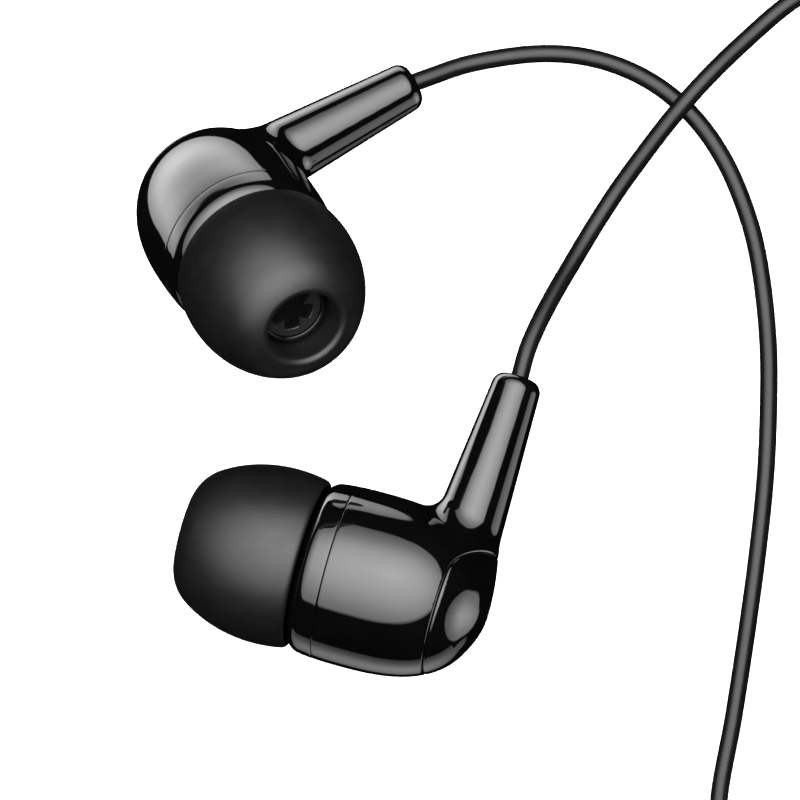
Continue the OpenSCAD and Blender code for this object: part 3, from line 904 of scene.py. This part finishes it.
def glow_material(name, strength, mask, bright):
    """A light-giving material. mask and bright are (centre x, y, half width x, y) ellipses in
    the panel's own metres: the light ends softly at mask and is strongest amid bright."""
    made = bpy.data.materials.new(name)
    made.use_nodes = True
    tree = made.node_tree
    tree.nodes.clear()
    out = tree.nodes.new("ShaderNodeOutputMaterial")
    glow = tree.nodes.new("ShaderNodeEmission")
    glow.inputs["Strength"].default_value = strength
    tree.links.new(glow.outputs[0], out.inputs["Surface"])
    place = tree.nodes.new("ShaderNodeTexCoord")
    colours = []
    for (x, y, across, up), stops in ((mask, SOFT_EDGE), (bright, FALL_OFF)):
        middle = tree.nodes.new("ShaderNodeMapping")
        middle.inputs["Location"].default_value = (-x / across, -y / up, 0)
        middle.inputs["Scale"].default_value = (1 / across, 1 / up, 0)
        ball = tree.nodes.new("ShaderNodeTexGradient")
        ball.gradient_type = "SPHERICAL"
        tree.links.new(place.outputs["Object"], middle.inputs["Vector"])
        tree.links.new(middle.outputs["Vector"], ball.inputs["Vector"])
        colours.append(ramp(made, ball.outputs["Fac"], [(p, (v, v, v)) for p, v in stops]))
    both = tree.nodes.new("ShaderNodeVectorMath")
    both.operation = "MULTIPLY"
    tree.links.new(colours[0], both.inputs[0])
    tree.links.new(colours[1], both.inputs[1])
    tree.links.new(both.outputs[0], glow.inputs["Color"])
    return made


def panel(name, made, at, half_across, half_up):
    """A glowing rectangle at a point, facing the object and hidden from the camera."""
    mesh = bpy.data.meshes.new(name)
    corners = [(-1, -1), (1, -1), (1, 1), (-1, 1)]
    mesh.from_pydata([(x * half_across, y * half_up, 0) for x, y in corners], [], [(3, 2, 1, 0)])
    piece = new_object(name, mesh, made)
    piece.location = at
    if at[0] or at[1]:
        piece.rotation_euler = (-Vector(at)).to_track_quat("-Z", "Y").to_euler()
    piece.visible_camera = False
    piece.visible_shadow = False
    return piece


def light_only(lamp, pieces):
    """Keeps a panel's light to some pieces."""
    group = bpy.data.collections.new(f"lit_by_{lamp.name}")
    for piece in pieces:
        group.objects.link(piece)
    lamp.light_linking.receiver_collection = group


def side_panel(name, strength, heading, elevation, half_across, half_up):
    """A panel at a heading and elevation in degrees and of half sizes in degrees, brightest in
    its middle. It lights the glossy housings only."""
    far = SIDE_DISTANCE
    a, e = math.radians(heading), math.radians(elevation)
    at = (far * math.cos(e) * math.cos(a), far * math.cos(e) * math.sin(a), far * math.sin(e))
    across, up = far * math.tan(math.radians(half_across)), far * math.tan(math.radians(half_up))
    made = glow_material(name, strength, (0, 0, across, up), (0, 0, across * 1.6, up * 1.6))
    light_only(panel(name, made, at, across, up), GLOSSY)


def make_backdrop():
    """A pale floor and a pale round wall beyond it, which only the camera sees."""
    reach, around, below = 3.0, 48, 0.001
    pale = material(
        "floor_white", (0.9, 0.9, 0.9), 0.9, Emission_Color=(1, 1, 1, 1), Emission_Strength=0.62
    )
    floor_mesh = bpy.data.meshes.new("floor")
    floor_mesh.from_pydata(
        [(-reach, -reach, 0), (reach, -reach, 0), (reach, reach, 0), (-reach, reach, 0)], [],
        [(0, 1, 2, 3)]
    )
    floor = new_object("floor", floor_mesh, pale)
    floor.location.z = FLOOR_Z
    turns = [2 * math.pi * i / around for i in range(around)]
    wall_mesh = bpy.data.meshes.new("backdrop")
    wall_mesh.from_pydata(
        [(reach * math.cos(a), reach * math.sin(a), z) for z in (-below, reach) for a in turns], [],
        [(i, (i + 1) % around, (i + 1) % around + around, i + around) for i in range(around)]
    )
    for shown in (floor, new_object("backdrop", wall_mesh, pale)):
        shown.visible_glossy = False
        shown.visible_diffuse = False
        shown.visible_shadow = False


def make_lights():
    high = OVERHEAD_HEIGHT
    overhead = glow_material(
        "overhead", 10.4, (-0.47 * high, 0.98 * high, 1.77 * high, 2.1 * high),
        (0.05 * high, 0.28 * high, 2.4 * high, 2.4 * high)
    )
    panel("overhead", overhead, (0, 0, high), 2.6 * high, 3.4 * high)
    side_panel("upper_left_glow", 7.5, 130, -24, 56, 24)
    side_panel("right_glow", 5.5, -25, -1, 24, 30)
    side_panel("lower_glow", 1.6, -90, -36, 45, 22)


def make_world():
    world = bpy.data.worlds.new("world")
    world.use_nodes = True
    world.node_tree.nodes["Background"].inputs["Color"].default_value = (0.004, 0.004, 0.004, 1)
    bpy.context.scene.world = world
    bpy.context.scene.view_settings.view_transform = "Standard"


make_backdrop()
make_lights()
make_world()
